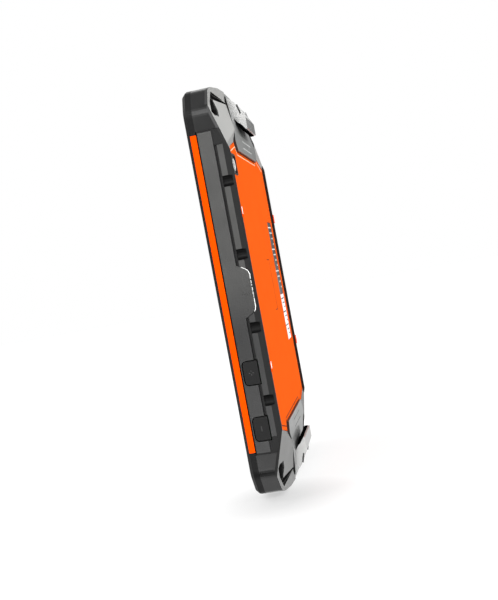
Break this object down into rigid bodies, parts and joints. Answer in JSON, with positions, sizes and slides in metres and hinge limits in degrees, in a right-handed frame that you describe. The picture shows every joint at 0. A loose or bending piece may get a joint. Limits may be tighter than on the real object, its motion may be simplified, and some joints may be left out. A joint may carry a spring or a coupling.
{
  "type": "data collector",
  "caption": "Rugged handheld field tablet for data collection: bumpered ends, side keys and accessory pockets, hexagonal rear cover and metal strap hooks.",
  "frame": {"origin": "middle of the bounding box's bottom, as the device stands on its bottom edge", "axes": "+Z along the length, up; -Y out of the screen, +Y out of the back; +X out of the side with the volume buttons"},
  "size_m": [0.146, 0.0274, 0.237],
  "materials": {
    "dark_shell": "fine matt moulded",
    "bumper_rubber": "satin rubber",
    "cap_grey": "satin moulded",
    "plate_grey": "satin moulded",
    "side_grey": "fine grained",
    "orange_trim": "satin",
    "orange_cover": "satin moulded",
    "hook_steel": "satin",
    "screw_steel": "machined",
    "cover_glass": "gloss",
    "display": "dark panel",
    "seal_rubber": "matt",
    "frame_metal": "as cast",
    "battery": "wrapped",
    "board": "solder mask",
    "tin": "tinned",
    "antenna": "ceramic",
    "button_dark": "matt silicone",
    "door_dark": "matt",
    "lens": "gloss",
    "camera_black": "matt",
    "status_lens": "clear",
    "label_dark": "printed film",
    "label_white": "printed film"
  },
  "bodies": {
    "device": {"front_bezel": "dark_shell", "cover_glass": "cover_glass", "touch_display": "display", "display_gasket": "seal_rubber", "mid_frame": "frame_metal", "rear_housing": "dark_shell", "trim_right": "orange_trim", "trim_left": "orange_trim", "side_panel_right": "side_grey", "side_panel_left": "side_grey", "rail_right": "side_grey", "rail_left": "side_grey", "bumper_top": "bumper_rubber", "bumper_bottom": "bumper_rubber", "end_cap_top": "cap_grey", "end_cap_bottom": "cap_grey", "end_plate_top": "plate_grey", "end_plate_bottom": "plate_grey", "strap_hook_top": "hook_steel", "strap_hook_bottom": "hook_steel", "hook_screws_top": "screw_steel", "hook_screws_bottom": "screw_steel", "back_cover": "orange_cover", "cover_gasket": "seal_rubber", "cover_clips": "orange_trim", "battery_pack": "battery", "battery_connector": "tin", "dark_label": "label_dark", "white_label": "label_white", "camera_window": "lens", "camera_module": "camera_black", "main_board": "board", "shield_cans": "tin", "gnss_antenna": "antenna", "radio_antenna": "antenna", "side_key_board": "board", "side_key_domes": "screw_steel", "front_key_board": "board", "front_camera_lens": "lens", "status_light": "status_lens", "speaker": "camera_black", "speaker_grille": "camera_black", "usb_connector": "tin", "power_jack": "camera_black", "usb_door_pin": "screw_steel", "power_door_pin": "screw_steel", "case_screws": "screw_steel"},
    "volume_up": {"volume_up_button": "button_dark"},
    "volume_down": {"volume_down_button": "button_dark"},
    "power_key": {"power_key": "button_dark"},
    "home_key": {"home_key": "button_dark"},
    "menu_key": {"menu_key": "button_dark"},
    "usb_door": {"usb_door": "door_dark"},
    "power_door": {"power_door": "door_dark"}
  },
  "joints": [
    {"name": "volume_up_press", "type": "slide", "parent": "device", "child": "volume_up", "axis": [-1, 0, 0], "range_m": [0, 0.0006], "stiffness_N_per_m": 1500},
    {"name": "volume_down_press", "type": "slide", "parent": "device", "child": "volume_down", "axis": [-1, 0, 0], "range_m": [0, 0.0006], "stiffness_N_per_m": 1500},
    {"name": "power_key_press", "type": "slide", "parent": "device", "child": "power_key", "axis": [0, 1, 0], "range_m": [0, 0.0006], "stiffness_N_per_m": 1500},
    {"name": "home_key_press", "type": "slide", "parent": "device", "child": "home_key", "axis": [0, 1, 0], "range_m": [0, 0.0006], "stiffness_N_per_m": 1500},
    {"name": "menu_key_press", "type": "slide", "parent": "device", "child": "menu_key", "axis": [0, 1, 0], "range_m": [0, 0.0006], "stiffness_N_per_m": 1500},
    {"name": "usb_door_hinge", "type": "hinge", "parent": "device", "child": "usb_door", "pos_m": [-0.0722, -0.00055, 0.1705], "axis": [0, 0, -1], "range_deg": [0, 100]},
    {"name": "power_door_hinge", "type": "hinge", "parent": "device", "child": "power_door", "pos_m": [-0.0722, -0.00055, 0.0885], "axis": [0, 0, -1], "range_deg": [0, 100]}
  ]
}
